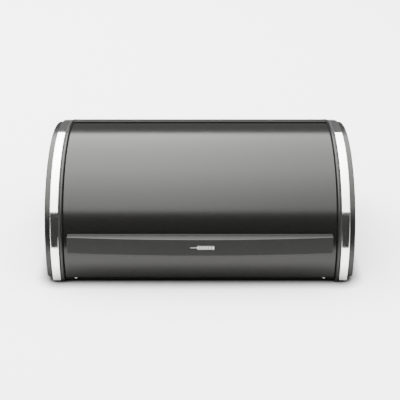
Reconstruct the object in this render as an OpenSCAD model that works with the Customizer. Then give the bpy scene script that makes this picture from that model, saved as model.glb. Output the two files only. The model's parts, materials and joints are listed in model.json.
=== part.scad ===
// Bread box with a roll top: a curved lid swings on side arms and tucks away under the rear shell.
// Origin: middle of the outer box, at table level. +X is to the viewer's right, the front faces -Y.

/* [Box] */
// Overall width over the end caps
box_w = 465; // [420:1:500]
// Radius of the round front, over the bead rings
box_r = 164; // [158:1:170]
// Height of the arc's centre above the table
axis_z = 17; // [15:0.5:20]
// Distance from the arc's centre to the back
back_reach = 97; // [95:1:105]
// Thickness of the steel sheet
sheet_t = 0.8; // [0.6:0.1:1]
// Gap between the table and the ends
ground_gap = 0.5; // [0.5:0.5:2]
// Radius of the corner between the round top and the flat back
rear_corner_r = 14; // [10:1:20]

/* [Ends] */
// Width of one end, from its inner wall to the outer face of its cap
end_w = 27; // [26:0.5:32]
// Width of the bead ring next to the lid
bead_w = 4; // [4:0.5:5]
// Width of the dark groove between bead and band
groove_w = 2; // [1:0.5:2]
// Width of the polished band
band_w = 12; // [12:0.5:14]
// How far the band lies below the bead
band_inset = 1; // [0.5:0.5:1.5]
// How far the end cap lies below the bead
cap_inset = 4.2; // [3.5:0.1:5]
// Radius of the rounded edge of the end cap
cap_edge_r = 2; // [2:0.5:4]
// Wall thickness of the moulded side panels
panel_t = 2; // [2:0.5:3]

/* [Lid] */
// Gap between the lid's ends and the side panels
lid_side_gap = 1.5; // [1:0.5:2.5]
// Step from the rear shell down to the lid
seam_step = 2; // [2:0.1:2.5]
// Angle of the lid's lower edge, counted upwards from the front
lid_low = -3; // [-4:0.5:-2]
// Angle of the lid's rear edge
lid_high = 104; // [103.5:0.5:105]
// Angle of the seam, where the rear shell begins
seam_angle = 102.4; // [102:0.1:103]
// Depth of the ribs inside the lid's ends
rib_h = 12; // [8:1:14]

/* [Pivot] */
// Pivot, forward of the arc's centre
pivot_forward = 70; // [68:1:74]
// Pivot, above the arc's centre
pivot_up = 37; // [35:1:38]
// Diameter of the pivot pins
pin_d = 8; // [6:1:10]
// Radial clearance of a pin in its bush
pin_play = 0.05; // [0.02:0.01:0.1]

/* [Handle] */
// Width of the handle
handle_w = 396; // [300:2:398]
// Angle at which the handle's top meets the lid
handle_angle = 22.7; // [18:0.1:26]
// Reach of the top face at the middle
handle_reach = 13.8; // [12:0.1:16]
// How much less it reaches at the ends
handle_bow = 5.3; // [4:0.1:6]
// Forward lean of the front face
handle_lean = 17; // [12:1:20]
// Height of the front face at the middle
face_h = 24.6; // [20:0.1:26]
// How much higher the front face is at the ends
face_arch = 2.4; // [2:0.1:4]
// Wall thickness of the handle
handle_t = 2.2; // [2:0.1:2.5]

/* [Hidden] */
$fn = 180;

LEFT = -1;
RIGHT = 1;

// Colours
lid_grey = [0.36, 0.36, 0.35];
trim_grey = [0.3, 0.3, 0.3];
polished = [0.86, 0.86, 0.87];
zinc = [0.7, 0.71, 0.73];
nylon_white = [0.9, 0.9, 0.87];
panel_black = [0.13, 0.13, 0.13];
rubber_black = [0.08, 0.08, 0.08];
clear_silicone = [0.88, 0.9, 0.9];

// X stations of one end, from the lid outwards
inner_x = box_w / 2 - end_w;
bead_x = inner_x + bead_w;
band_x = bead_x + groove_w;
cap_x = band_x + band_w;
outer_x = box_w / 2;
lid_x = inner_x - lid_side_gap;

// Radii about the arc's centre
shell_inset = 0.5;
shell_r = box_r - shell_inset;
lid_r = shell_r - seam_step;
lid_in_r = lid_r - sheet_t;
panel_inset = 2.5;
hem_t = 1.5;

// Heights above the table
base_under = 5.5;
base_top = base_under + sheet_t;
ledge_t = 1.5;
ledge_w = 12;
foot_r = 8;

// Front lip of the handle, which is the object's foremost point
lean_dir = [sin(handle_lean), -cos(handle_lean)];
handle_root = lid_r * [cos(handle_angle), sin(handle_angle)];
top_slope = 0.1;
brow = handle_root + handle_reach * [1, -top_slope];
lip = brow + face_h * lean_dir;
axis_y = (lip[0] - back_reach) / 2;

// Layers of the lid's hardware, from the rib inwards
rib_t = 1.5;
arm_t = 2;
rib_x = lid_x - 0.8;
arm_x = rib_x - rib_t;
pin_head_t = 2.5;
bush_r = pin_d / 2 + 2;
bush_flange_r = pin_d / 2 + 4;
boss_h = 3;
clip_t = 1;
rib_mid_r = lid_in_r - rib_h / 2;
rivet_r = 2.4;
rivet_angles = [28, 34, 66, 72];

// Screws, as [forward, up] from the arc's centre
cap_screw_spots = [[112, 4], [-24, 4], [52, 92]];
cap_screw_r = 1.9;
base_screw_spots = [-110, -10, 72];
handle_screw_x = [-165, -60, 60, 165];
handle_screw_angle = 20.3;
handle_screw_r = 1.7;
screw_play = 0.1;
mark_x = 4;

// Puts a shape with X forward and Y up onto the arc's centre, to be turned about the X axis
module around_axis() {
    translate([0, axis_y, axis_z]) rotate([90, 0, -90]) children();
}

// A curved strip about the arc's centre, from x0 to x1 and from angle a0 to a1
module arc_strip(r_in, r_out, x0, x1, a0, a1) {
    around_axis()
        rotate([0, 0, a0])
            rotate_extrude(angle = a1 - a0)
                translate([r_in, -x1]) square([r_out - r_in, x1 - x0]);
}

// Extrudes an outline drawn as [forward, up] from the arc's centre, from x0 to x1
module across(x0, x1) {
    translate([x1, axis_y, axis_z]) rotate([90, 0, -90]) linear_extrude(x1 - x0) children();
}

// A cylinder along X at [forward, up] from the arc's centre
module rod_x(spot, r, x0, x1) {
    translate([x0, axis_y - spot[0], axis_z + spot[1]]) rotate([0, 90, 0]) cylinder(r = r, h = x1 - x0);
}

// Round front, flat back and flat bottom; inset shrinks it all round
module end_outline(inset, corner_r, low = ground_gap) {
    r = box_r - inset;
    down = axis_z - low - inset;
    back = back_reach - inset;
    front_corner = [sqrt(pow(r - corner_r, 2) - pow(down - corner_r, 2)), corner_r - down];
    rear_corner = [rear_corner_r - back, sqrt(pow(r - rear_corner_r, 2) - pow(back - rear_corner_r, 2))];
    front_end = front_corner * r / (r - corner_r);
    rear_end = rear_corner * r / (r - rear_corner_r);
    intersection() {
        circle(r);
        polygon([
            front_end, [front_corner[0], -down], [corner_r - back, -down], [-back, corner_r - down],
            [-back, rear_corner[1]], rear_end, rear_end * 1.3, [-r, 1.3 * r], [1.3 * r, 1.3 * r],
            [1.3 * r, front_end[1]]
        ]);
    }
    translate(front_corner) circle(corner_r);
    translate(rear_corner) circle(rear_corner_r);
    translate([corner_r - back, corner_r - down]) circle(corner_r);
}

// A ring that follows the outline
module outline_ring(outer_inset, inner_inset, corner_r) {
    difference() {
        end_outline(outer_inset, corner_r);
        end_outline(inner_inset, max(corner_r - inner_inset + outer_inset, 1));
    }
}

// Mirrors what is made for the right end onto the left
module on_side(side) {
    if (side == LEFT) mirror([1, 0, 0]) children();
    else children();
}

// ---- Fixed body ----

// A long wedge between two angles, drawn as [forward, up] from the arc's centre
module wedge(a0, a1) {
    polygon([[0, 0], 2 * box_r * [cos(a0), sin(a0)], 2 * box_r * [cos(a1), sin(a1)]]);
}

// The sheet starts at the seam with a folded hem and ends in a flange under the base
module rear_shell() {
    shell_low = base_under - sheet_t - shell_inset;
    flange_w = 15;
    hem_span = 2.5;
    color(lid_grey)
        across(-inner_x, inner_x)
            intersection() {
                union() {
                    difference() {
                        end_outline(shell_inset, 3, shell_low);
                        end_outline(shell_inset + sheet_t, 3 - sheet_t, shell_low);
                    }
                    intersection() {
                        difference() {
                            circle(shell_r - sheet_t / 2);
                            circle(shell_r - hem_t);
                        }
                        wedge(seam_angle - 1, seam_angle + hem_span);
                    }
                }
                polygon([
                    [0, 0], 2 * box_r * [cos(seam_angle), sin(seam_angle)], [-2 * box_r, 2 * box_r],
                    [-2 * box_r, -box_r], [flange_w - back_reach, -box_r], [flange_w - back_reach, 0]
                ]);
            }
}

module base_tray() {
    front_p = 148.6;
    back_p = 3.6 - back_reach;
    color(trim_grey)
        difference() {
            translate([-inner_x, axis_y - front_p, base_under])
                cube([2 * inner_x, front_p - back_p, sheet_t]);
            base_screw_places() cylinder(r = 1.5 + screw_play, h = 10, center = true);
        }
}

// The lip behind the lid's lower edge, and the shelf under it
module front_sill() {
    lip_p = 151;
    shelf_p = 160;
    low = base_under - sheet_t - axis_z;
    color(trim_grey)
        across(-inner_x, inner_x)
            polygon([
                [lip_p - 14, low], [shelf_p, low], [shelf_p, low + sheet_t], [lip_p, low + sheet_t],
                [lip_p, -2], [lip_p - 6, -2], [lip_p - 6, -2 - sheet_t],
                [lip_p - sheet_t, -2 - sheet_t], [lip_p - sheet_t, low + sheet_t], [lip_p - 14, low + sheet_t]
            ]);
}

module side_panel(side) {
    rim_x = cap_x - 1;
    color(panel_black)
        on_side(side)
            difference() {
                union() {
                    across(inner_x, inner_x + panel_t) end_outline(panel_inset, 3);
                    across(inner_x, rim_x) outline_ring(panel_inset, panel_inset + panel_t, 3);
                    rod_x([pivot_forward, pivot_up], bush_r + 4, inner_x, inner_x + panel_t + boss_h);
                    for (spot = cap_screw_spots) rod_x(spot, 5, inner_x, inner_x + panel_t + boss_h);
                    translate([inner_x - ledge_w, axis_y - 128, base_under - ledge_t])
                        cube([ledge_w + 1, 208, ledge_t]);
                }
                rod_x([pivot_forward, pivot_up], bush_r, inner_x - 1, outer_x);
                for (spot = cap_screw_spots) rod_x(spot, cap_screw_r + screw_play, inner_x - 1, outer_x);
                base_screw_places() cylinder(r = 1.5 + screw_play, h = 10, center = true);
            }
}

module bead_ring(side) {
    color(trim_grey)
        on_side(side)
            across(inner_x, bead_x) outline_ring(0, panel_inset, 5);
}

// A hoop with a lip that turns in over the side panel's rim
module polished_band(side) {
    color(polished)
        on_side(side) {
            across(band_x, cap_x - 1) outline_ring(band_inset, panel_inset, 4.5);
            across(cap_x - 1, cap_x) outline_ring(band_inset, cap_inset + 3, 4.5);
        }
}

// Blank of the end cap, with its outer edge rounded over
module cap_blank(inset, x0, x1, edge_r) {
    steps = 5;
    hull()
        for (i = [0 : steps]) {
            turn = 90 * i / steps;
            across(x0, x1 - edge_r * (1 - sin(turn)))
                end_outline(inset + edge_r * (1 - cos(turn)), 10, $fn = 72);
        }
}

module end_cap(side) {
    wall = 1.5;
    color(trim_grey)
        on_side(side)
            difference() {
                union() {
                    difference() {
                        cap_blank(cap_inset, cap_x, outer_x, cap_edge_r);
                        cap_blank(cap_inset + wall, cap_x - 1, outer_x - wall, cap_edge_r - wall);
                    }
                    for (spot = cap_screw_spots)
                        rod_x(spot, 4.5, inner_x + panel_t + boss_h, outer_x - wall + 0.1);
                }
                for (spot = cap_screw_spots) rod_x(spot, cap_screw_r + screw_play, inner_x, outer_x - 6);
            }
}

module cap_screws(side) {
    color(zinc)
        on_side(side)
            for (spot = cap_screw_spots) {
                rod_x(spot, 3.5, inner_x - 1.6, inner_x);
                rod_x(spot, cap_screw_r, inner_x, inner_x + 16);
            }
}

// Flanged bush: the flange keeps the arm off the panel
module pivot_bush(side) {
    spot = [pivot_forward, pivot_up];
    color(nylon_white)
        on_side(side)
            difference() {
                union() {
                    rod_x(spot, bush_flange_r, arm_x + 0.4, inner_x);
                    rod_x(spot, bush_r, inner_x, inner_x + panel_t + boss_h + 0.5);
                }
                rod_x(spot, pin_d / 2 + pin_play, arm_x, outer_x);
            }
}

module base_screw_places() {
    for (x = [-1, 1], y = base_screw_spots)
        translate([x * (inner_x - ledge_w / 2), axis_y + y, base_under]) children();
}

module base_screws() {
    color(zinc)
        base_screw_places() {
            translate([0, 0, -ledge_t]) cylinder(r = 1.5, h = ledge_t + sheet_t);
            translate([0, 0, sheet_t]) cylinder(r1 = 3.2, r2 = 2.4, h = 1.2);
        }
}

module rubber_feet() {
    color(rubber_black)
        for (x = [-176, 176], y = [-118, 72])
            translate([x, axis_y + y, 0]) {
                cylinder(r1 = foot_r - 1, r2 = foot_r, h = 1);
                translate([0, 0, 1]) cylinder(r = foot_r, h = base_under - 1);
            }
}

module lid_bumpers() {
    color(clear_silicone)
        for (x = [-189, 189])
            translate([x, axis_y - 157, base_under]) {
                cylinder(r = 2.5, h = 1.6);
                translate([0, 0, 1.6]) cylinder(r1 = 2.5, r2 = 1.5, h = 0.9);
            }
}

// The open lid's rear edge comes down on these
module opening_stops() {
    color(rubber_black)
        for (x = [-120, 120])
            translate([x - 15, axis_y + 80, base_top]) cube([30, 13, 2.6]);
}

// ---- Lid ----

module handle_screw_rods(r, from_r, to_r) {
    for (x = handle_screw_x)
        translate([x, axis_y, axis_z]) rotate([90 - handle_screw_angle, 0, 0])
            translate([0, 0, from_r]) cylinder(r = r, h = to_r - from_r);
}

module lid_sheet() {
    color(lid_grey)
        difference() {
            arc_strip(lid_in_r, lid_r, -lid_x, lid_x, lid_low, lid_high);
            handle_screw_rods(handle_screw_r + screw_play, lid_in_r - 5, lid_r + 5);
        }
}

module lower_rail() {
    rail_x = arm_x - arm_t - 4;
    color(lid_grey)
        arc_strip(lid_in_r - 2.5, lid_in_r, -rail_x, rail_x, lid_low, lid_low + 5);
}

module rear_seal() {
    seal_x = arm_x - arm_t - 4;
    color(rubber_black)
        arc_strip(lid_in_r - 1.2, lid_in_r, -seal_x, seal_x, lid_high - 2.5, lid_high - 0.3);
}

module lid_rib(side) {
    color(zinc)
        on_side(side)
            difference() {
                arc_strip(lid_in_r - rib_h, lid_in_r, arm_x, rib_x, 8, lid_high - 3);
                rivet_rods(rivet_r + screw_play, arm_x - 5, outer_x);
            }
}

module rivet_rods(r, x0, x1) {
    for (a = rivet_angles) rod_x(rib_mid_r * [cos(a), sin(a)], r, x0, x1);
}

// A plate with two legs, from the pivot to the rib
module lid_arm(side) {
    pivot = [pivot_forward, pivot_up];
    color(zinc)
        on_side(side)
            difference() {
                across(arm_x - arm_t, arm_x)
                    for (pair = [[rivet_angles[0], rivet_angles[1]], [rivet_angles[2], rivet_angles[3]]])
                        hull() {
                            translate(pivot) circle(11, $fn = 64);
                            for (a = pair)
                                translate((rib_mid_r - 1) * [cos(a), sin(a)]) circle(5, $fn = 48);
                        }
                rod_x(pivot, pin_d / 2 + pin_play, arm_x - 5, outer_x);
                rivet_rods(rivet_r + screw_play, arm_x - 5, outer_x);
            }
}

module arm_rivets(side) {
    color(zinc)
        on_side(side) {
            rivet_rods(rivet_r, arm_x - arm_t, rib_x);
            rivet_rods(rivet_r + 1.6, arm_x - arm_t - 1.4, arm_x - arm_t);
        }
}

// Headed pin with a groove for its clip
module pivot_pin(side) {
    pivot = [pivot_forward, pivot_up];
    groove_x = inner_x + panel_t + boss_h + 1;
    color(zinc)
        on_side(side) {
            rod_x(pivot, pin_d / 2 + 3, arm_x - arm_t - pin_head_t, arm_x - arm_t);
            difference() {
                rod_x(pivot, pin_d / 2, arm_x - arm_t, groove_x + 3.5);
                difference() {
                    rod_x(pivot, pin_d, groove_x, groove_x + clip_t + 0.2);
                    rod_x(pivot, pin_d / 2 - 0.8, groove_x - 1, groove_x + 5);
                }
            }
        }
}

module pin_clip(side) {
    pivot = [pivot_forward, pivot_up];
    clip_x = inner_x + panel_t + boss_h + 1.1;
    mouth = pin_d * 0.6;
    color(zinc)
        on_side(side)
            difference() {
                rod_x(pivot, pin_d / 2 + 3, clip_x, clip_x + clip_t);
                rod_x(pivot, pin_d / 2 - 0.75, clip_x - 1, clip_x + 5);
                translate([clip_x - 1, axis_y - pivot[0] - mouth / 2, axis_z + pivot[1]])
                    cube([5, mouth, 20]);
            }
}

// Stands on the middle of the handle's upper front edge: X across, Y up the front face, Z outwards
module at_brow() {
    translate([0, axis_y - brow[0], axis_z + brow[1]]) rotate([90 - handle_lean, 0, 0]) children();
}

// Keeps what lies behind the bowed front face, less wall
module bowed_front(wall) {
    half = handle_w / 2;
    bow_r = (half * half + handle_bow * handle_bow) / 2 / handle_bow;
    intersection() {
        children();
        at_brow() translate([0, 0, -bow_r - wall]) rotate([90, 0, 0])
            cylinder(r = bow_r, h = 160, center = true, $fn = 3600);
    }
}

// Everything below the arched lower edge of the front face
module below_arch() {
    half = handle_w / 2;
    arch_r = (half * half + face_arch * face_arch) / 2 / face_arch;
    at_brow() translate([0, -face_h - arch_r, 0]) cylinder(r = arch_r, h = 80, center = true, $fn = 3600);
}

module handle() {
    low = brow + 34 * lean_dir;
    rail_low = 164 * [cos(17.5), sin(17.5)];
    color(lid_grey)
        difference() {
            bowed_front(0)
                across(-handle_w / 2, handle_w / 2)
                    polygon([
                        handle_root - [5, -5 * top_slope], brow + [2, -2 * top_slope],
                        low + [2, 0], [140, low[1]]
                    ]);
            bowed_front(handle_t)
                across(3 - handle_w / 2, handle_w / 2 - 3)
                    polygon([
                        rail_low + [1.2, 4.2], brow + [2, -handle_t - 0.2], low + [2, -5], [140, low[1] - 5],
                        rail_low - [16, 0], rail_low + [1.2, 0]
                    ]);
            around_axis() cylinder(r = lid_r, h = box_w, center = true);
            below_arch();
            handle_screw_rods(handle_screw_r + screw_play, lid_r - 5, lid_r + 3.2);
        }
}

module handle_screws() {
    color(zinc) {
        handle_screw_rods(handle_screw_r, lid_in_r, lid_r + 3);
        handle_screw_rods(3.4, lid_in_r - 1.8, lid_in_r);
    }
}

// A plain ear of grain, lying along the handle
module handle_mark() {
    grain_l = 4.8;
    grain_w = 1.7;
    grain_r = (grain_l * grain_l + grain_w * grain_w) / 4 / grain_w;
    pairs = 6;
    pitch = 4.3;
    stem_w = 0.7;
    ear_l = (pairs - 1) * pitch;
    stem_l = 10;
    color(polished)
        at_brow() translate([mark_x - (ear_l + grain_l - stem_l) / 2, -face_h / 2, 0])
            linear_extrude(0.3) {
                translate([-stem_l, -stem_w / 2]) square([stem_l + ear_l + 1, stem_w]);
                for (i = [0 : pairs - 1], flip = [-1, 1])
                    translate([i * pitch, 0]) rotate(40 * flip) grain(grain_l, grain_r, grain_w);
                translate([ear_l, 0]) grain(grain_l, grain_r, grain_w);
            }
}

// One grain, its lower tip at the origin
module grain(l, r, w) {
    intersection() {
        translate([l / 2, r - w / 2]) circle(r, $fn = 48);
        translate([l / 2, w / 2 - r]) circle(r, $fn = 48);
    }
}

rear_shell();
base_tray();
front_sill();
side_panel(LEFT);  // side_panel_left
side_panel(RIGHT);  // side_panel_right
bead_ring(LEFT);  // bead_ring_left
bead_ring(RIGHT);  // bead_ring_right
polished_band(LEFT);  // polished_band_left
polished_band(RIGHT);  // polished_band_right
end_cap(LEFT);  // end_cap_left
end_cap(RIGHT);  // end_cap_right
cap_screws(LEFT);  // cap_screws_left
cap_screws(RIGHT);  // cap_screws_right
pivot_bush(LEFT);  // pivot_bush_left
pivot_bush(RIGHT);  // pivot_bush_right
base_screws();
rubber_feet();
lid_bumpers();
opening_stops();
lid_sheet();
lower_rail();
rear_seal();
lid_rib(LEFT);  // lid_rib_left
lid_rib(RIGHT);  // lid_rib_right
lid_arm(LEFT);  // lid_arm_left
lid_arm(RIGHT);  // lid_arm_right
arm_rivets(LEFT);  // arm_rivets_left
arm_rivets(RIGHT);  // arm_rivets_right
pivot_pin(LEFT);  // pivot_pin_left
pivot_pin(RIGHT);  // pivot_pin_right
pin_clip(LEFT);  // pin_clip_left
pin_clip(RIGHT);  // pin_clip_right
handle();
handle_screws();
handle_mark();
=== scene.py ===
"""Bread box with a roll top, dressed around its CAD frame.

Everything is in metres, in the frame of the CAD model: +X to the right, -Y out of the front, +Z up.
The round parts share one arc centre. Angles about it start at the front and count upwards.
"""

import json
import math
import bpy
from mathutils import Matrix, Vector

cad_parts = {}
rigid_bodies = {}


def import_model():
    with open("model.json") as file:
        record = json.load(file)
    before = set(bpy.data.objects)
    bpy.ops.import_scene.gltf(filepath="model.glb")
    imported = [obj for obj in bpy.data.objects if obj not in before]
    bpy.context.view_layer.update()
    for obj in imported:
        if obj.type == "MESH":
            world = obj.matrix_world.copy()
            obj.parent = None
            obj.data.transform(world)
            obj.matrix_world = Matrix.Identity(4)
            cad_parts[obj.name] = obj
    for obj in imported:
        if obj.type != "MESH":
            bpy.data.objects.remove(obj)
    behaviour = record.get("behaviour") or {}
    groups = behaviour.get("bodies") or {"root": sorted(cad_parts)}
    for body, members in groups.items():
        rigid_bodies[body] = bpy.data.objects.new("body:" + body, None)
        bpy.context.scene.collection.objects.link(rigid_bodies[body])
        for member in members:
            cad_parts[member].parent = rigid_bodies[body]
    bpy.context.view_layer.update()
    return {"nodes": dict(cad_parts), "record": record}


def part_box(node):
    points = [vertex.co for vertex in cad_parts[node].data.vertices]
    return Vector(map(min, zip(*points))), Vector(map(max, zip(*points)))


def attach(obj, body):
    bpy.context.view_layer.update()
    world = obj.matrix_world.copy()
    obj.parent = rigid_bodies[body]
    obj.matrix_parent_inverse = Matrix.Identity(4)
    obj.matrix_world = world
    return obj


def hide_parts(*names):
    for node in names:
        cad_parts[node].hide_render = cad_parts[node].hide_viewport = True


bl_info = {
    "name": "Bread Box with Roll Top",
    "version": (1, 0, 0),
    "blender": (4, 5, 0),
    "location": "View3D > Sidebar > Bread Box",
    "description": "Builds a roll-top bread box: sheet metal, end trims, handle, hardware and studio",
    "category": "Object",
}

import bpy
from mathutils import Vector

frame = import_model()
MM = 0.001
SIDES = (("left", -1), ("right", 1))

# Where the CAD has its hardware, in millimetres. [forward, up] is counted from the arc's centre.
PIVOT = (70, 37)
INNER_X = 205.5
ARM_X = 199.7
CAP_SCREWS = ((112, 4), (-24, 4), (52, 92))
BASE_SCREW_X = (-199.5, 199.5)
BASE_SCREW_BACK = (-110, -10, 72)
HANDLE_SCREW_X = (-165, -60, 60, 165)
HANDLE_SCREW_ANGLE = 20.3
RIVET_ANGLES = (28, 34, 66, 72)
RIVET_DEPTH = 6
FOOT_X = (-176, 176)
FOOT_BACK = (-118, 72)
BUMPER_X = (-189, 189)
BUMPER_FORWARD = 157
BUMPER_SEAT = 5.5
STOP_X = (-120, 120)
STOP_HALF = 15

# How finely the round parts are swept, and how the meshes are finished
LID_STEPS = 144
OUTLINE_STEPS = 120
CORNER_STEPS = 8
TURNING_STEPS = 32
SMOOTH_ANGLE = math.radians(35)
MERGE_DISTANCE = 1e-6


def linear(code):
    """An sRGB hex colour as linear RGB."""
    parts = [int(code[i : i + 2], 16) / 255 for i in (0, 2, 4)]
    return tuple(c / 12.92 if c <= 0.04045 else ((c + 0.055) / 1.055) ** 2.4 for c in parts)


# ---- Sizes and colours ----


def length(name, description, default):
    return bpy.props.FloatProperty(
        name=name, description=description, default=default, min=0, unit="LENGTH", precision=5
    )


def turn_of(name, description, default):
    return bpy.props.FloatProperty(
        name=name, description=description, default=math.radians(default), unit="ROTATION"
    )


def colour(name, description, code):
    return bpy.props.FloatVectorProperty(
        name=name, description=description, default=linear(code), subtype="COLOR", min=0, max=1
    )


class BreadBoxSizes(bpy.types.PropertyGroup):
    box_radius: length("Box radius", "Radius of the round front over the bead rings", 164 * MM)
    shell_drop: length("Shell drop", "How far the rear shell lies below the beads", 0.5 * MM)
    lid_drop: length("Lid drop", "How far the lid lies below the beads", 2.5 * MM)
    sheet: length("Sheet", "Thickness of the steel sheet", 0.8 * MM)
    seam_angle: turn_of("Seam angle", "Where the rear shell begins", 102.4)
    hem: length("Hem", "Thickness of the shell's folded front edge", 1.5 * MM)
    hem_span: turn_of("Hem span", "How far the hem reaches back", 2.5)
    lid_low: turn_of("Lid's lower edge", "Angle of the lid's lower edge", -3)
    lid_high: turn_of("Lid's rear edge", "Angle of the lid's rear edge", 104)
    rear_corner: length("Rear corner", "Radius between the round top and the flat back", 14 * MM)
    band_drop: length("Band drop", "How far the polished band lies below the bead", 1 * MM)
    cap_drop: length("Cap drop", "How far the end cap lies below the bead", 4.2 * MM)
    cap_edge: length("Cap edge", "Radius of the end cap's rounded edge", 2 * MM)
    handle_angle: turn_of("Handle angle", "Where the handle's top meets the lid", 22.7)
    handle_reach: length("Handle reach", "Depth of the handle's top at the middle", 13.8 * MM)
    handle_bow: length("Handle bow", "How much less it reaches at the ends", 5.3 * MM)
    handle_lean: turn_of("Handle lean", "Forward lean of the handle's front", 17)
    face_height: length("Face height", "Height of the handle's front at the middle", 24.6 * MM)
    face_arch: length("Face arch", "How much higher the front is at the ends", 2.4 * MM)


class BreadBoxColours(bpy.types.PropertyGroup):
    lacquer: colour("Lacquer", "Metallic lacquer on the sheet steel", "2b2b2a")
    trim: colour("Trim", "Lacquer on beads and end caps", "2d2d2c")
    steel: colour("Polished steel", "Stainless bands", "f2f2f0")
    zinc: colour("Zinc", "Zinc plated hardware", "b9bcc0")
    plastic: colour("Plastic", "Moulded side panels", "161616")
    nylon: colour("Nylon", "Pivot bushes", "e4e2d8")
    rubber: colour("Rubber", "Feet, stops and seal", "121212")
    silicone: colour("Silicone", "Clear bumpers", "e9eeee")
    floor: colour("Floor", "Pale table top", "dedede")


def sizes():
    return bpy.context.scene.bread_box_sizes


def colours():
    return bpy.context.scene.bread_box_colours


def arc_centre():
    """The centre of the round parts, from the bead ring's box."""
    low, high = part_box("bead_ring_right")
    radius = sizes().box_radius
    return Vector((0, low.y + radius, high.z - radius))


def on_arc(radius, angle, x=0.0):
    """A point at a radius and an angle about the arc's centre."""
    return arc_centre() + Vector((x, -radius * math.cos(angle), radius * math.sin(angle)))


# ---- Modelling ----


def begin(name):
    """An empty mesh at the origin, in edit mode."""
    bpy.ops.object.select_all(action="DESELECT")
    bpy.ops.object.add(type="MESH", location=(0, 0, 0))
    piece = bpy.context.object
    piece.name = piece.data.name = name
    bpy.ops.object.mode_set(mode="EDIT")
    bpy.ops.mesh.select_mode(type="VERT")
    return piece


def select_where(piece, kind, test):
    """Selects the vertices, edges or faces whose middle passes the test."""
    bpy.ops.mesh.select_mode(type={"vertices": "VERT", "edges": "EDGE", "polygons": "FACE"}[kind])
    bpy.ops.mesh.select_all(action="DESELECT")
    bpy.ops.object.mode_set(mode="OBJECT")
    points = piece.data.vertices
    for part in getattr(piece.data, kind):
        if kind == "vertices":
            middle = part.co
        else:
            middle = sum((points[i].co for i in part.vertices), Vector()) / len(part.vertices)
        part.select = bool(test(middle))
    bpy.ops.object.mode_set(mode="EDIT")


def draw_chain(points):
    """Draws an open outline, one extruded corner after the other, and leaves it selected."""
    bpy.ops.mesh.select_mode(type="VERT")
    bpy.ops.mesh.select_all(action="DESELECT")
    bpy.ops.mesh.primitive_plane_add(size=1, location=points[0])
    bpy.ops.mesh.merge(type="CENTER")
    for here, there in zip(points, points[1:]):
        bpy.ops.mesh.extrude_region_move(TRANSFORM_OT_translate={"value": there - here})
    bpy.ops.mesh.select_linked()
    bpy.ops.mesh.remove_doubles(threshold=MERGE_DISTANCE)
    bpy.ops.mesh.select_mode(type="EDGE")


def draw_loop(points):
    """Draws a closed outline and leaves it selected."""
    draw_chain(points + points[:1])


def round_corners(piece, corners, radius, segments=4):
    """Rounds those corners of an outline that stand at the given points."""
    select_where(piece, "vertices", lambda co: any((co - c).length < 1e-5 for c in corners))
    bpy.ops.mesh.bevel(offset=radius, offset_type="OFFSET", segments=segments, affect="VERTICES")
    bpy.ops.mesh.select_linked()
    bpy.ops.mesh.select_mode(type="EDGE")


def turn(centre, angle, steps):
    """Sweeps what is selected about an axis along X, from the front upwards."""
    bpy.ops.mesh.spin(steps=steps, angle=angle, center=centre, axis=(1, 0, 0))


def push(offset):
    """Extrudes what is selected in a straight line."""
    bpy.ops.mesh.extrude_region_move(TRANSFORM_OT_translate={"value": offset})


def close_mesh():
    """Merges doubles, fills what is open and turns the normals outwards."""
    bpy.ops.mesh.select_mode(type="VERT")
    bpy.ops.mesh.select_all(action="SELECT")
    bpy.ops.mesh.remove_doubles(threshold=MERGE_DISTANCE)
    bpy.ops.mesh.fill_holes(sides=0)
    bpy.ops.mesh.select_all(action="SELECT")
    bpy.ops.mesh.normals_make_consistent(inside=False)


def finish_piece(piece, body, node, slot):
    """Closes and orients the mesh, gives it the slot's finish and hands it to its body."""
    bpy.ops.object.mode_set(mode="EDIT")
    close_mesh()
    bpy.ops.object.mode_set(mode="OBJECT")
    bpy.ops.object.shade_smooth_by_angle(angle=SMOOTH_ANGLE)
    apply_modifier(piece, "WEIGHTED_NORMAL", keep_sharp=True)
    piece.data.materials.clear()
    piece.data.materials.append(finish_for(slot))
    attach(piece, body)
    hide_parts(node)


def apply_modifier(piece, kind, **settings):
    """Adds a modifier with its settings and applies it."""
    modifier = piece.modifiers.new(kind.title(), kind)
    for key, value in settings.items():
        setattr(modifier, key, value)
    bpy.ops.object.modifier_apply(modifier=modifier.name)


def ring_outline(drop, corner):
    """Radius, corner centres and end angles of the box's outline, less drop all round."""
    low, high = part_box("bead_ring_right")
    centre = arc_centre()
    radius = sizes().box_radius - drop
    down = centre.z - low.z - drop
    back = high.y - centre.y - drop
    rear = sizes().rear_corner
    front_out = math.sqrt((radius - corner) ** 2 - (down - corner) ** 2)
    rear_up = math.sqrt((radius - rear) ** 2 - (back - rear) ** 2)
    front_corner = centre + Vector((0, -front_out, corner - down))
    rear_corner = centre + Vector((0, back - rear, rear_up))
    heel_corner = centre + Vector((0, back - corner, corner - down))
    start = math.atan2(corner - down, front_out)
    end = math.atan2(rear_up, rear - back)
    return radius, front_corner, rear_corner, heel_corner, start, end


def sweep_ring(piece, drop, corner, section, rounding=0.0, rounded=(), draw=draw_loop):
    """Sweeps a section right round the box's outline. The section lists (x, depth) corners."""
    radius, front_corner, rear_corner, heel_corner, start, end = ring_outline(drop, corner)
    points = [on_arc(radius - depth, start, x) for x, depth in section]
    draw(points)
    if rounding:
        round_corners(piece, [points[i] for i in rounded], rounding)
    turn(arc_centre(), end - start, OUTLINE_STEPS)
    turn(rear_corner, math.pi - end, CORNER_STEPS)
    push((0, 0, heel_corner.z - rear_corner.z))
    turn(heel_corner, math.pi / 2, CORNER_STEPS)
    push((0, front_corner.y - heel_corner.y, 0))
    turn(front_corner, math.pi / 2 + start, 10)


# ---- Materials ----


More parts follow.
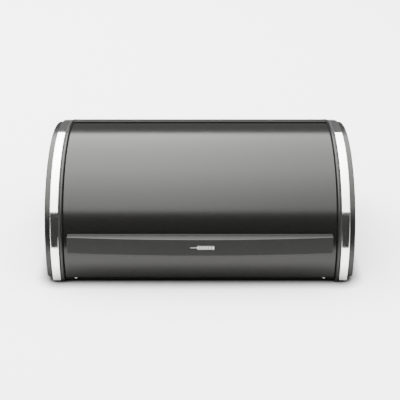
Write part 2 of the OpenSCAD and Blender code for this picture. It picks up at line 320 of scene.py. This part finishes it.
def add_node(tree, kind, inputs=None, **settings):
    """Adds a node, sets its properties, and sets or links its inputs."""
    made = tree.nodes.new(kind)
    for key, value in settings.items():
        setattr(made, key, value)
    for key, value in (inputs or {}).items():
        if isinstance(value, bpy.types.NodeSocket):
            tree.links.new(value, made.inputs[key])
        else:
            made.inputs[key].default_value = value
    return made


def new_material(name):
    """A material with a Principled shader, and its tree and Object coordinates."""
    material = bpy.data.materials.new(name)
    material.use_nodes = True
    tree = material.node_tree
    tree.nodes.clear()
    shader = add_node(tree, "ShaderNodeBsdfPrincipled")
    add_node(tree, "ShaderNodeOutputMaterial", {"Surface": shader.outputs["BSDF"]})
    where = add_node(tree, "ShaderNodeTexCoord").outputs["Object"]
    return material, tree, shader, where


def per_metre(millimetres):
    """Noise scale whose features are about that many millimetres across."""
    return 1 / (millimetres * MM)


def set_up(shader, **values):
    """Sets constant values on the shader's own sockets."""
    for key, value in values.items():
        shader.inputs[key.replace("_", " ")].default_value = value


def rgba(tint, gain=1.0):
    """A linear colour, made lighter or darker, with full alpha."""
    return tuple(min(c * gain, 1) for c in tint) + (1,)


def lacquer(name, tint, roughness):
    """Metallic lacquer, sprayed and baked on rolled steel.

    The dark pigment carries fine aluminium flake, so light draws a soft, clear-edged sheen.
    """
    material, tree, shader, where = new_material(name)
    set_up(shader, Metallic=0.8)
    flake = add_node(
        tree, "ShaderNodeTexNoise", {"Vector": where, "Scale": per_metre(0.7), "Detail": 2.0}
    )
    ramp = add_node(tree, "ShaderNodeValToRGB", {"Fac": flake.outputs["Fac"]})
    ramp.color_ramp.elements[0].position = 0.3
    ramp.color_ramp.elements[1].position = 0.7
    ramp.color_ramp.elements[0].color = rgba(tint, 0.94)
    ramp.color_ramp.elements[1].color = rgba(tint, 1.06)
    tree.links.new(ramp.outputs["Color"], shader.inputs["Base Color"])
    film = add_node(
        tree, "ShaderNodeTexNoise", {"Vector": where, "Scale": per_metre(35), "Detail": 3.0}
    )
    gloss = add_node(
        tree,
        "ShaderNodeMapRange",
        {"Value": film.outputs["Fac"], "To Min": roughness * 0.95, "To Max": roughness * 1.05},
    )
    tree.links.new(gloss.outputs["Result"], shader.inputs["Roughness"])
    peel = add_node(
        tree, "ShaderNodeTexNoise", {"Vector": where, "Scale": per_metre(2.5), "Detail": 1.0}
    )
    bump = add_node(
        tree,
        "ShaderNodeBump",
        {"Height": peel.outputs["Fac"], "Strength": 0.06, "Distance": 0.02 * MM},
    )
    tree.links.new(bump.outputs["Normal"], shader.inputs["Normal"])
    return material


def polished_steel(name, tint):
    """Stainless strip, buffed along its length: mirror bright with faint buffing lines."""
    material, tree, shader, where = new_material(name)
    set_up(shader, Metallic=1.0, Base_Color=rgba(tint))
    across = add_node(
        tree, "ShaderNodeMapping", {"Vector": where, "Scale": (per_metre(0.5), 6.0, 6.0)}
    )
    lines = add_node(
        tree, "ShaderNodeTexNoise", {"Vector": across.outputs["Vector"], "Scale": 1.0, "Detail": 2.0}
    )
    gloss = add_node(
        tree, "ShaderNodeMapRange", {"Value": lines.outputs["Fac"], "To Min": 0.05, "To Max": 0.1}
    )
    tree.links.new(gloss.outputs["Result"], shader.inputs["Roughness"])
    bump = add_node(
        tree,
        "ShaderNodeBump",
        {"Height": lines.outputs["Fac"], "Strength": 0.03, "Distance": 0.01 * MM},
    )
    tree.links.new(bump.outputs["Normal"], shader.inputs["Normal"])
    return material


def mottled(name, tint, metallic, rough_low, rough_high, grain_mm, depth_mm, spread=0.1):
    """A surface with fine grain: colour and gloss wander a little, and the grain stands up."""
    material, tree, shader, where = new_material(name)
    set_up(shader, Metallic=metallic)
    cloud = add_node(
        tree, "ShaderNodeTexNoise", {"Vector": where, "Scale": per_metre(12), "Detail": 3.0}
    )
    ramp = add_node(tree, "ShaderNodeValToRGB", {"Fac": cloud.outputs["Fac"]})
    ramp.color_ramp.elements[0].color = rgba(tint, 1 - spread)
    ramp.color_ramp.elements[1].color = rgba(tint, 1 + spread)
    tree.links.new(ramp.outputs["Color"], shader.inputs["Base Color"])
    gloss = add_node(
        tree,
        "ShaderNodeMapRange",
        {"Value": cloud.outputs["Fac"], "To Min": rough_low, "To Max": rough_high},
    )
    tree.links.new(gloss.outputs["Result"], shader.inputs["Roughness"])
    grain = add_node(
        tree, "ShaderNodeTexNoise", {"Vector": where, "Scale": per_metre(grain_mm), "Detail": 1.0}
    )
    bump = add_node(
        tree,
        "ShaderNodeBump",
        {"Height": grain.outputs["Fac"], "Strength": 0.4, "Distance": depth_mm * MM},
    )
    tree.links.new(bump.outputs["Normal"], shader.inputs["Normal"])
    return material


# Each record slot's material: its function, its name, its colour and its settings
FINISHES = {
    # Metallic lacquer, baked on the smooth lid: the sharpest sheen, with clear edges to each light
    "lid_steel": (lacquer, "metallic_lacquer_on_lid", "lacquer", 0.2),
    # The same lacquer over folded steel inside and behind: a softer, greyer sheen
    "coated_steel": (lacquer, "metallic_lacquer_on_shell", "lacquer", 0.34),
    # The same lacquer on the pressed handle: one even tone on each flat face
    "handle_metal": (lacquer, "metallic_lacquer_on_handle", "lacquer", 0.34),
    # A slightly lighter lacquer on the rolled beads: a thin bright line along the round
    "bead_metal": (lacquer, "metallic_lacquer_on_beads", "trim", 0.3),
    # The trim's lacquer on deep-drawn caps: a tight highlight round the rim
    "cap_metal": (lacquer, "metallic_lacquer_on_caps", "trim", 0.27),
    # Bright-rolled stainless strip, buffed: a near mirror, with white and black bands
    "polished_steel": (polished_steel, "polished_stainless_strip", "steel"),
    # Stamped stainless with a satin finish: pale and soft beside the dark handle
    "mark_metal": (mottled, "satin_stainless_inlay", "steel", 1.0, 0.28, 0.34, 0.3, 0.01),
    # Zinc plated and passivated steel: bluish grey, faintly cloudy
    "zinc_steel": (mottled, "zinc_plated_steel", "zinc", 1.0, 0.3, 0.42, 0.6, 0.01),
    # ABS moulded in a spark-eroded tool: black with a fine matt grain
    "panel_plastic": (mottled, "moulded_abs", "plastic", 0.0, 0.75, 0.85, 0.5, 0.02),
    # Natural nylon, moulded: ivory with a waxy gloss
    "nylon": (mottled, "moulded_nylon", "nylon", 0.0, 0.35, 0.45, 0.8, 0.01, 0.04),
    # Compression-moulded rubber: dull black with a slight bloom
    "rubber": (mottled, "moulded_rubber", "rubber", 0.0, 0.65, 0.8, 0.4, 0.03),
    # Cast silicone: pale and smooth, with small wet-looking highlights
    "silicone": (mottled, "clear_silicone", "silicone", 0.0, 0.18, 0.25, 1.5, 0.01),
}


def finish_for(slot):
    """The material of a record slot, made once."""
    make, name, tint, *settings = FINISHES[slot]
    return bpy.data.materials.get(name) or make(name, getattr(colours(), tint), *settings)


# ---- Pieces ----


class BREADBOX_OT_lid(bpy.types.Operator):
    """Rolls the lid's sheet, with rounded edges"""

    bl_idname = "breadbox.lid"
    bl_label = "Lid Sheet"

    def execute(self, context):
        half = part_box("lid_sheet")[1].x
        outer = sizes().box_radius - sizes().lid_drop
        piece = begin("lid_skin")
        points = [
            on_arc(outer - depth, sizes().lid_low, x)
            for x, depth in ((-half, 0), (half, 0), (half, sizes().sheet), (-half, sizes().sheet))
        ]
        draw_loop(points)
        round_corners(piece, points, 0.38 * sizes().sheet, 3)
        turn(arc_centre(), sizes().lid_high - sizes().lid_low, LID_STEPS)
        finish_piece(piece, "lid", "lid_sheet", "lid_steel")
        return {"FINISHED"}


class BREADBOX_OT_shell(bpy.types.Operator):
    """Bends the rear shell: hem at the seam, round top, flat back and bottom flange"""

    bl_idname = "breadbox.shell"
    bl_label = "Rear Shell"

    def execute(self, context):
        s = sizes()
        low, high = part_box("rear_shell")
        piece = begin("rear_shell_skin")
        radius, _, rear_corner, _, _, end = ring_outline(s.shell_drop, 5 * MM)
        section = ((low.x, 0), (high.x, 0), (high.x, s.hem), (low.x, s.hem))
        draw_loop([on_arc(radius - depth, s.seam_angle, x) for x, depth in section])
        turn(arc_centre(), s.hem_span, 3)
        push((0, 0, 0))
        thin = s.sheet / s.hem
        bpy.ops.transform.resize(
            value=(1, thin, thin), center_override=on_arc(radius, s.seam_angle + s.hem_span)
        )
        turn(arc_centre(), end - s.seam_angle - s.hem_span, 24)
        turn(rear_corner, math.pi - end, CORNER_STEPS)
        heel = 3 * MM
        flange = 12 * MM
        heel_centre = Vector((0, high.y - heel, low.z + heel))
        push((0, 0, heel_centre.z - rear_corner.z))
        turn(heel_centre, math.pi / 2, 6)
        push((0, -flange, 0))
        close_mesh()
        fold = on_arc(1, s.seam_angle) - arc_centre()
        select_where(
            piece, "edges", lambda co: abs((co - arc_centre()).normalized().angle(fold)) < 1e-4
        )
        bpy.ops.mesh.bevel(offset=0.35 * MM, segments=3, affect="EDGES")
        finish_piece(piece, "body", "rear_shell", "coated_steel")
        return {"FINISHED"}


class BREADBOX_OT_beads(bpy.types.Operator):
    """Runs the rounded bead rings round both ends of the opening"""

    bl_idname = "breadbox.beads"
    bl_label = "Bead Rings"

    def execute(self, context):
        depth = sizes().lid_drop
        for side, _ in SIDES:
            low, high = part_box("bead_ring_" + side)
            piece = begin("bead_" + side)
            section = ((low.x, 0), (high.x, 0), (high.x, depth), (low.x, depth))
            sweep_ring(piece, 0, 5 * MM, section, 1.9 * MM, (0, 1))
            finish_piece(piece, "body", "bead_ring_" + side, "bead_metal")
        return {"FINISHED"}


class BREADBOX_OT_bands(bpy.types.Operator):
    """Wraps the polished bands round both ends, with rolled edges and a lip turned in"""

    bl_idname = "breadbox.bands"
    bl_label = "Polished Bands"

    def execute(self, context):
        s = sizes()
        skin = s.lid_drop - s.band_drop
        lip = s.cap_drop + 0.4 * MM - s.band_drop
        for side, sign in SIDES:
            low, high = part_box("polished_band_" + side)
            near, far = (low.x, high.x) if sign > 0 else (high.x, low.x)
            lip_x = far - sign * 1 * MM
            piece = begin("band_" + side)
            section = ((near, 0), (far, 0), (far, lip), (lip_x, lip), (lip_x, skin), (near, skin))
            sweep_ring(piece, s.band_drop, 4.5 * MM, section, 0.95 * MM, (0, 1))
            plate = ((lip_x, 0), (far - sign * 0.1 * MM, 0))
            sweep_ring(piece, s.band_drop + 0.4 * MM, 4.1 * MM, plate, draw=draw_chain)
            finish_piece(piece, "body", "polished_band_" + side, "polished_steel")
        return {"FINISHED"}


class BREADBOX_OT_end_caps(bpy.types.Operator):
    """Presses the end caps, with a rounded rim and a flat face"""

    bl_idname = "breadbox.end_caps"
    bl_label = "End Caps"

    def execute(self, context):
        s = sizes()
        wall = 1.5 * MM
        rim = 8 * MM
        for side, sign in SIDES:
            low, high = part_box("end_cap_" + side)
            band_low, band_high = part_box("polished_band_" + side)
            near = band_high.x if sign > 0 else band_low.x
            far = high.x if sign > 0 else low.x
            inner = far - sign * wall
            piece = begin("cap_" + side)
            section = ((far, rim), (far, 0), (near, 0), (near, wall), (inner, wall), (inner, rim))
            sweep_ring(piece, s.cap_drop, 10 * MM, section, s.cap_edge, (1,), draw_chain)
            finish_piece(piece, "body", "end_cap_" + side, "cap_metal")
        return {"FINISHED"}


class BREADBOX_OT_handle(bpy.types.Operator):
    """Folds the handle: flat top, leaning front that bows and arches, closed ends, screw rail"""

    bl_idname = "breadbox.handle"
    bl_label = "Handle"

    def execute(self, context):
        s = sizes()
        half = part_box("handle")[1].x
        lid_radius = s.box_radius - s.lid_drop
        top = Vector((0, -1, -0.1))
        down = Vector((0, -math.sin(s.handle_lean), -math.cos(s.handle_lean)))
        out = Vector((0, -math.cos(s.handle_lean), math.sin(s.handle_lean)))
        root = on_arc(lid_radius, s.handle_angle, -half)
        brow = root + top * s.handle_reach
        lip = brow + down * s.face_height
        return_depth = 12.6 * MM
        foot = lip - return_depth * out
        piece = begin("handle_shell")
        heel = on_arc(lid_radius, math.radians(18), -half)
        draw_loop([root, brow, lip, foot, heel])
        round_corners(piece, [brow], 0.9 * MM)
        round_corners(piece, [lip], 0.6 * MM)
        stations = 44
        for _ in range(stations):
            push((2 * half / stations, 0, 0))
        along_top = top / -top.dot(out)
        for i in range(stations + 1):
            x = half * (2 * i / stations - 1)
            share = (x / half) ** 2
            fall = s.handle_bow * share
            rise = s.face_arch * share
            shift_points(piece, x, brow, 1.2 * MM, along_top * fall)
            shift_points(piece, x, lip, 1 * MM, -out * fall - down * rise)
            shift_points(piece, x, foot, 1 * MM, -down * rise)
        close_mesh()
        for x in (-half, half):
            select_where(piece, "edges", lambda co: abs(co.x - x) < 1e-5)
            bpy.ops.mesh.bevel(offset=0.7 * MM, segments=3, affect="EDGES", clamp_overlap=True)
        close_mesh()

        def is_open(co):
            share = (co.x / half) ** 2
            rel = (co - brow) - Vector((co.x - brow.x, 0, 0))
            behind = -rel.dot(out) - s.handle_bow * share
            low = rel.dot(down) > s.face_height - s.face_arch * share - 0.2 * MM
            at_lid = (co - arc_centre()).yz.length < lid_radius + 0.5 * MM
            return at_lid or (low and behind > 0.8 * MM)

        select_where(piece, "polygons", is_open)
        bpy.ops.mesh.delete(type="FACE")
        bpy.ops.object.mode_set(mode="OBJECT")
        wall = 2 * MM
        apply_modifier(piece, "SOLIDIFY", thickness=wall, offset=-1, use_even_offset=True)
        bpy.ops.object.mode_set(mode="EDIT")
        end = half - 3 * MM
        rail_height = 4 * MM
        rail_low = math.radians(17.5)
        rail_span = math.radians(4.6)
        rail = ((-end, 0), (end, 0), (end, rail_height), (-end, rail_height))
        draw_loop([on_arc(lid_radius + height, rail_low, x) for x, height in rail])
        turn(arc_centre(), rail_span, 6)
        finish_piece(piece, "lid", "handle", "handle_metal")
        return {"FINISHED"}


def shift_points(piece, x, spot, reach, offset):
    """Moves the points of one station that lie about a spot of the section."""
    select_where(
        piece,
        "vertices",
        lambda co: abs(co.x - x) < 1e-5 and (co.yz - spot.yz).length < reach,
    )
    bpy.ops.transform.translate(value=offset)


def turned(spot, toward, outline, draw=draw_chain):
    """Turns an outline of (radius, height) in millimetres about an axis through the spot."""
    side = toward.orthogonal().normalized()
    draw([spot + (toward * height + side * radius) * MM for radius, height in outline])
    bpy.ops.mesh.spin(steps=TURNING_STEPS, angle=2 * math.pi, center=spot, axis=toward)


def cut_cross(piece, spot, toward, top, reach):
    """Sinks a cross recess into the top of a screw head."""
    across = toward.orthogonal().normalized()
    along = toward.cross(across)

    def in_cross(co):
        rel = (co - spot) / MM
        height = rel.dot(toward)
        out = (rel - toward * height).length
        arm = min(abs(rel.dot(across)), abs(rel.dot(along)))
        return height > top - 0.3 and out < reach and (out < 0.6 or arm < 0.25 * out)

    select_where(piece, "polygons", in_cross)
    push(toward * -0.9 * MM)


def forward_up(place, x):
    """A spot given as [forward, up] from the arc's centre and as X, all in millimetres."""
    forward, up = place
    return arc_centre() + Vector((x, -forward, up)) * MM


class BREADBOX_OT_screws(bpy.types.Operator):
    """Turns the pan-head screws and sinks their cross recesses"""

    bl_idname = "breadbox.screws"
    bl_label = "Screws"

    def execute(self, context):
        for side, sign in SIDES:
            piece = begin("cap_screws_" + side)
            inward = Vector((-sign, 0, 0))
            for place in CAP_SCREWS:
                spot = forward_up(place, sign * INNER_X)
                turned(spot, inward, pan_head(3.5, 1.6, 1.9, 16))
                cut_cross(piece, spot, inward, 1.6, 2)
            finish_piece(piece, "body", "cap_screws_" + side, "zinc_steel")
        piece = begin("base_screws_turned")
        seat_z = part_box("base_screws")[1].z - 1.2 * MM
        for x in BASE_SCREW_X:
            for back in BASE_SCREW_BACK:
                spot = Vector((x * MM, arc_centre().y + back * MM, seat_z))
                turned(spot, Vector((0, 0, 1)), pan_head(3.2, 1.2, 1.5, 2.3))
                cut_cross(piece, spot, Vector((0, 0, 1)), 1.2, 1.9)
        finish_piece(piece, "body", "base_screws", "zinc_steel")
        piece = begin("handle_screws_turned")
        angle = math.radians(HANDLE_SCREW_ANGLE)
        inward = arc_centre() - on_arc(1, angle)
        seat_radius = sizes().box_radius - sizes().lid_drop - sizes().sheet
        for x in HANDLE_SCREW_X:
            spot = on_arc(seat_radius, angle, x * MM)
            turned(spot, inward, pan_head(3.4, 1.8, 1.7, 3.8))
            cut_cross(piece, spot, inward, 1.8, 2)
        finish_piece(piece, "lid", "handle_screws", "zinc_steel")
        return {"FINISHED"}


def pan_head(radius, top, shank, depth):
    """Half outline of a pan-head screw: flat over the recess, rounded rim, shank below."""
    return (
        (0, top),
        (0.6, top),
        (0.6 * radius, top),
        (0.84 * radius, 0.86 * top),
        (0.97 * radius, 0.5 * top),
        (radius, 0.1 * top),
        (0.97 * radius, 0),
        (shank, 0),
        (shank, -depth),
        (0, -depth),
    )


class BREADBOX_OT_pivots(bpy.types.Operator):
    """Turns the domed rivets, the grooved pivot pins and the flanged bushes"""

    bl_idname = "breadbox.pivots"
    bl_label = "Pivots and Rivets"

    def execute(self, context):
        rivet = (
            (0, 1.4), (1.2, 1.3), (2.4, 1.0), (3.4, 0.5), (4, 0),
            (2.4, 0), (2.4, -3.5), (0, -3.5),
        )
        pin = (
            (0, 2.5), (5.8, 2.5), (6.6, 2.2), (7, 1.6), (7, 0.3), (6.7, 0), (4, 0), (4, -11.8),
            (3.2, -11.8), (3.2, -13), (4, -13), (4, -14.8), (3.5, -15.3), (0, -15.3),
        )
        bush = (
            (4.05, -3.0), (4.45, -3.4), (7.5, -3.4), (8, -2.9), (8, -0.4), (7.6, 0), (6, 0),
            (6, 5), (5.6, 5.5), (4.4, 5.5), (4.05, 5.1),
        )
        middle = sizes().box_radius - sizes().lid_drop - sizes().sheet - RIVET_DEPTH * MM
        for side, sign in SIDES:
            inward = Vector((-sign, 0, 0))
            piece = begin("rivets_" + side)
            for degrees in RIVET_ANGLES:
                spot = on_arc(middle, math.radians(degrees), sign * ARM_X * MM)
                turned(spot, inward, rivet)
            finish_piece(piece, "lid", "arm_rivets_" + side, "zinc_steel")
            piece = begin("pin_" + side)
            turned(forward_up(PIVOT, sign * ARM_X), inward, pin)
            finish_piece(piece, "lid", "pivot_pin_" + side, "zinc_steel")
            piece = begin("bush_" + side)
            turned(forward_up(PIVOT, sign * INNER_X), -inward, bush, draw_loop)
            finish_piece(piece, "body", "pivot_bush_" + side, "nylon")
        return {"FINISHED"}


class BREADBOX_OT_rubber(bpy.types.Operator):
    """Moulds the rounded feet, the domed clear bumpers and the soft stops"""

    bl_idname = "breadbox.rubber"
    bl_label = "Feet, Bumpers and Stops"

    def execute(self, context):
        up = Vector((0, 0, 1))
        centre_y = arc_centre().y
        foot = ((0, 0.4), (5.6, 0.4), (6, 0), (7, 0), (7.7, 0.3), (8, 1), (7.8, 5.5), (0, 5.5))
        dome = ((0, 2.5), (0.9, 2.4), (1.7, 2.0), (2.3, 1.2), (2.5, 0.4), (2.5, 0), (0, 0))
        piece = begin("feet")
        for x in FOOT_X:
            for back in FOOT_BACK:
                turned(Vector((x * MM, centre_y + back * MM, 0)), up, foot)
        finish_piece(piece, "body", "rubber_feet", "rubber")
        piece = begin("bumpers")
        for x in BUMPER_X:
            spot = Vector((x * MM, centre_y - BUMPER_FORWARD * MM, BUMPER_SEAT * MM))
            turned(spot, up, dome)
        finish_piece(piece, "body", "lid_bumpers", "silicone")
        low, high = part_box("opening_stops")
        piece = begin("stops")
        for x in STOP_X:
            near = (x - STOP_HALF) * MM
            far = (x + STOP_HALF) * MM
            draw_loop(
                [
                    Vector((near, low.y, low.z)),
                    Vector((far, low.y, low.z)),
                    Vector((far, high.y, low.z)),
                    Vector((near, high.y, low.z)),
                ]
            )
            push((0, 0, high.z - low.z))
        close_mesh()
        select_where(piece, "edges", lambda co: co.z > low.z + 0.1 * MM)
        bpy.ops.mesh.bevel(offset=1 * MM, segments=4, affect="EDGES")
        finish_piece(piece, "body", "opening_stops", "rubber")
        return {"FINISHED"}


class BREADBOX_OT_stage(bpy.types.Operator):
    """Lays the floor, hangs the softbox and sets the camera"""

    bl_idname = "breadbox.stage"
    bl_label = "Stage"

    def execute(self, context):
        floor = lay_sheet("floor", FLOOR_X, FLOOR_Y, 0, table_top())
        softbox_y = (SOFTBOX[0][0], SOFTBOX[-1][0])
        softbox = lay_sheet("softbox", SOFTBOX_X, softbox_y, SOFTBOX_HEIGHT, glow())
        softbox.visible_camera = False
        dim_the_studio(context)
        set_camera(context)
        return {"FINISHED"}


# The stage, in metres. The table ends a little in front of the box.
FLOOR_X = (-7, 7)
FLOOR_Y = (-1.05, 13)
SOFTBOX_X = (-3.6, 3.2)
SOFTBOX_HEIGHT = 2.2
# Painted contact shade on the floor: how far it reaches when seen, when mirrored, and how fast it deepens
PAINTED_SHADE_REACH = (0.022, 0.09)
PAINTED_SHADE_POWER = 3.3
# Where the table is painted dark as mirrored in the box, and how much of its colour is left behind that
PAINTED_REFLECTION_SHADE_Y = (0.35, 0.6)
PAINTED_REFLECTION_SHADE_LEFT = 0.03
# Radiance of the room in front, behind, and as the camera sees it
ROOM_FRONT = 0.055
ROOM_BEHIND = 0.19
BACKDROP = 5.4
# The softbox's radiance along the room, as (Y, radiance), and the value that stands for white
SOFTBOX_PEAK = 16
SOFTBOX = (
    (-2.86, 6.5),
    (-2.34, 6.6),
    (-1.78, 7.0),
    (-1.16, 8.5),
    (-0.64, 10.4),
    (-0.16, 12.7),
    (0.34, 14.1),
    (0.94, 15.0),
    (1.33, 14.9),
    (2.1, 13.8),
    (3.05, 12.5),
)


def lay_sheet(name, span_x, span_y, z, material):
    """A level sheet of the stage, over a span in X and one in Y."""
    sheet = begin(name)
    bpy.ops.mesh.primitive_grid_add(
        x_subdivisions=8,
        y_subdivisions=8,
        size=1,
        location=(sum(span_x) / 2, sum(span_y) / 2, z),
    )
    bpy.ops.transform.resize(value=(span_x[1] - span_x[0], span_y[1] - span_y[0], 1))
    bpy.ops.object.mode_set(mode="OBJECT")
    sheet.data.materials.append(material)
    return sheet


def table_top():
    """Painted matt board: pale and even, with no visible grain.

    Occlusion paints a contact shade into its colour close round what stands on it, wider where it is seen
    mirrored.
    Mirrored in the box, the board is painted dark behind it as if the table ended there: painted shade in
    the box's reflections.
    """
    material, tree, shader, where = new_material("matt_table_top")
    set_up(shader, Roughness=0.9)
    mirrored = add_node(tree, "ShaderNodeLightPath").outputs["Is Glossy Ray"]
    # Painted contact shade: occlusion darkens the floor's colour round the box, reaching further for
    # glossy rays
    reach = add_node(
        tree, "ShaderNodeMapRange", {"Value": mirrored, "To Min": PAINTED_SHADE_REACH[0], "To Max": PAINTED_SHADE_REACH[1]}
    )
    near = add_node(
        tree, "ShaderNodeAmbientOcclusion", {"Distance": reach.outputs["Result"]}, samples=8
    )
    deep = add_node(
        tree, "ShaderNodeMath", {0: near.outputs["AO"], 1: PAINTED_SHADE_POWER}, operation="POWER"
    )
    # Painted shade in reflections: behind the box, glossy rays see the floor's colour darkened
    split = add_node(tree, "ShaderNodeSeparateXYZ", {"Vector": where})
    behind = add_node(
        tree,
        "ShaderNodeMapRange",
        {"Value": split.outputs["Y"], "From Min": PAINTED_REFLECTION_SHADE_Y[0], "From Max": PAINTED_REFLECTION_SHADE_Y[1]},
    )
    flagged = add_node(
        tree,
        "ShaderNodeMath",
        {0: behind.outputs["Result"], 1: mirrored},
        operation="MULTIPLY",
    )
    reflection_darkening = add_node(
        tree,
        "ShaderNodeMapRange",
        {"Value": flagged.outputs["Value"], "To Min": 1, "To Max": PAINTED_REFLECTION_SHADE_LEFT},
    )
    level = add_node(
        tree,
        "ShaderNodeMath",
        {0: deep.outputs["Value"], 1: reflection_darkening.outputs["Result"]},
        operation="MULTIPLY",
    )
    shade = add_node(
        tree,
        "ShaderNodeVectorMath",
        {0: colours().floor, "Scale": level.outputs["Value"]},
        operation="SCALE",
    )
    tree.links.new(shade.outputs["Vector"], shader.inputs["Base Color"])
    return material


def cloth_grey(radiance):
    """The grey that stands for a radiance of the softbox."""
    return (radiance / SOFTBOX_PEAK,) * 3 + (1,)


def glow():
    """The diffuser cloth of the softbox: brighter over and behind the box, dimmer to the right."""
    material = bpy.data.materials.new("softbox_cloth")
    material.use_nodes = True
    tree = material.node_tree
    tree.nodes.clear()
    where = add_node(tree, "ShaderNodeTexCoord").outputs["Object"]
    split = add_node(tree, "ShaderNodeSeparateXYZ", {"Vector": where})
    low = SOFTBOX[0][0]
    high = SOFTBOX[-1][0]
    along = add_node(
        tree,
        "ShaderNodeMapRange",
        {"Value": split.outputs["Y"], "From Min": low, "From Max": high},
    )
    ramp = add_node(tree, "ShaderNodeValToRGB", {"Fac": along.outputs["Result"]})
    stops = ramp.color_ramp.elements
    stops[0].color = cloth_grey(SOFTBOX[0][1])
    stops[1].color = cloth_grey(SOFTBOX[-1][1])
    for y, radiance in SOFTBOX[1:-1]:
        stops.new((y - low) / (high - low)).color = cloth_grey(radiance)
    across = add_node(
        tree,
        "ShaderNodeMapRange",
        {
            "Value": split.outputs["X"],
            "From Min": -0.35,
            "From Max": 0.9,
            "To Min": SOFTBOX_PEAK,
            "To Max": 0.7 * SOFTBOX_PEAK,
        },
        interpolation_type="SMOOTHSTEP",
    )
    cloth = add_node(
        tree,
        "ShaderNodeEmission",
        {"Color": ramp.outputs["Color"], "Strength": across.outputs["Result"]},
    )
    add_node(tree, "ShaderNodeOutputMaterial", {"Surface": cloth.outputs["Emission"]})
    return material


def dim_the_studio(context):
    """The room: dark in front, a little lighter behind, and a pale backdrop to the eye."""
    world = bpy.data.worlds.new("dim_studio")
    world.use_nodes = True
    tree = world.node_tree
    tree.nodes.clear()
    where = add_node(tree, "ShaderNodeTexCoord").outputs["Generated"]
    split = add_node(tree, "ShaderNodeSeparateXYZ", {"Vector": where})
    room = add_node(
        tree,
        "ShaderNodeMapRange",
        {
            "Value": split.outputs["Y"],
            "From Min": 0.2,
            "From Max": 0.8,
            "To Min": ROOM_FRONT,
            "To Max": ROOM_BEHIND,
        },
        interpolation_type="SMOOTHSTEP",
    )
    path = add_node(tree, "ShaderNodeLightPath")
    seen = add_node(
        tree,
        "ShaderNodeMapRange",
        {
            "Value": path.outputs["Is Camera Ray"],
            "To Min": room.outputs["Result"],
            "To Max": BACKDROP,
        },
    )
    light = add_node(
        tree,
        "ShaderNodeBackground",
        {"Color": (1, 1, 1, 1), "Strength": seen.outputs["Result"]},
    )
    add_node(tree, "ShaderNodeOutputWorld", {"Surface": light.outputs["Background"]})
    context.scene.world = world


def set_camera(context):
    """Long lens, straight in front, looking down over the lid."""
    distance = 1.401
    rise = 0.0282
    pitch = math.radians(30.7)
    data = bpy.data.cameras.new("camera")
    data.lens = 74.9
    data.sensor_width = 36
    camera = bpy.data.objects.new("camera", data)
    back = Vector((0, -math.cos(pitch), math.sin(pitch)))
    up = Vector((0, math.sin(pitch), math.cos(pitch)))
    camera.location = arc_centre() + distance * back + rise * up
    camera.rotation_euler = (math.pi / 2 - pitch, 0, 0)
    context.scene.collection.objects.link(camera)
    context.scene.camera = camera


class BREADBOX_OT_cad_finishes(bpy.types.Operator):
    """Gives every CAD node that stays in view the finish of its slot"""

    bl_idname = "breadbox.cad_finishes"
    bl_label = "Hardware Finishes"

    def execute(self, context):
        for part in frame["record"]["subparts"]:
            node = frame["nodes"][part["node"]]
            node.data.materials.clear()
            node.data.materials.append(finish_for(part["material_slot"]))
        return {"FINISHED"}


class BREADBOX_PT_panel(bpy.types.Panel):
    """Lists the steps in the order they are run"""

    bl_idname = "BREADBOX_PT_panel"
    bl_label = "Bread Box"
    bl_space_type = "VIEW_3D"
    bl_region_type = "UI"
    bl_category = "Bread Box"

    def draw(self, context):
        for step in STEPS:
            self.layout.operator(step.bl_idname)
        for group in (context.scene.bread_box_sizes, context.scene.bread_box_colours):
            for name in group.__annotations__:
                self.layout.prop(group, name)


STEPS = (
    BREADBOX_OT_cad_finishes,
    BREADBOX_OT_lid,
    BREADBOX_OT_shell,
    BREADBOX_OT_beads,
    BREADBOX_OT_bands,
    BREADBOX_OT_end_caps,
    BREADBOX_OT_handle,
    BREADBOX_OT_screws,
    BREADBOX_OT_pivots,
    BREADBOX_OT_rubber,
    BREADBOX_OT_stage,
)
CLASSES = (BreadBoxSizes, BreadBoxColours) + STEPS + (BREADBOX_PT_panel,)


def register():
    for cls in CLASSES:
        bpy.utils.register_class(cls)
    bpy.types.Scene.bread_box_sizes = bpy.props.PointerProperty(type=BreadBoxSizes)
    bpy.types.Scene.bread_box_colours = bpy.props.PointerProperty(type=BreadBoxColours)


def unregister():
    del bpy.types.Scene.bread_box_colours
    del bpy.types.Scene.bread_box_sizes
    for cls in reversed(CLASSES):
        bpy.utils.unregister_class(cls)


def main():
    register()
    for step in STEPS:
        group, name = step.bl_idname.split(".")
        getattr(getattr(bpy.ops, group), name)()


if __name__ == "__main__":
    main()
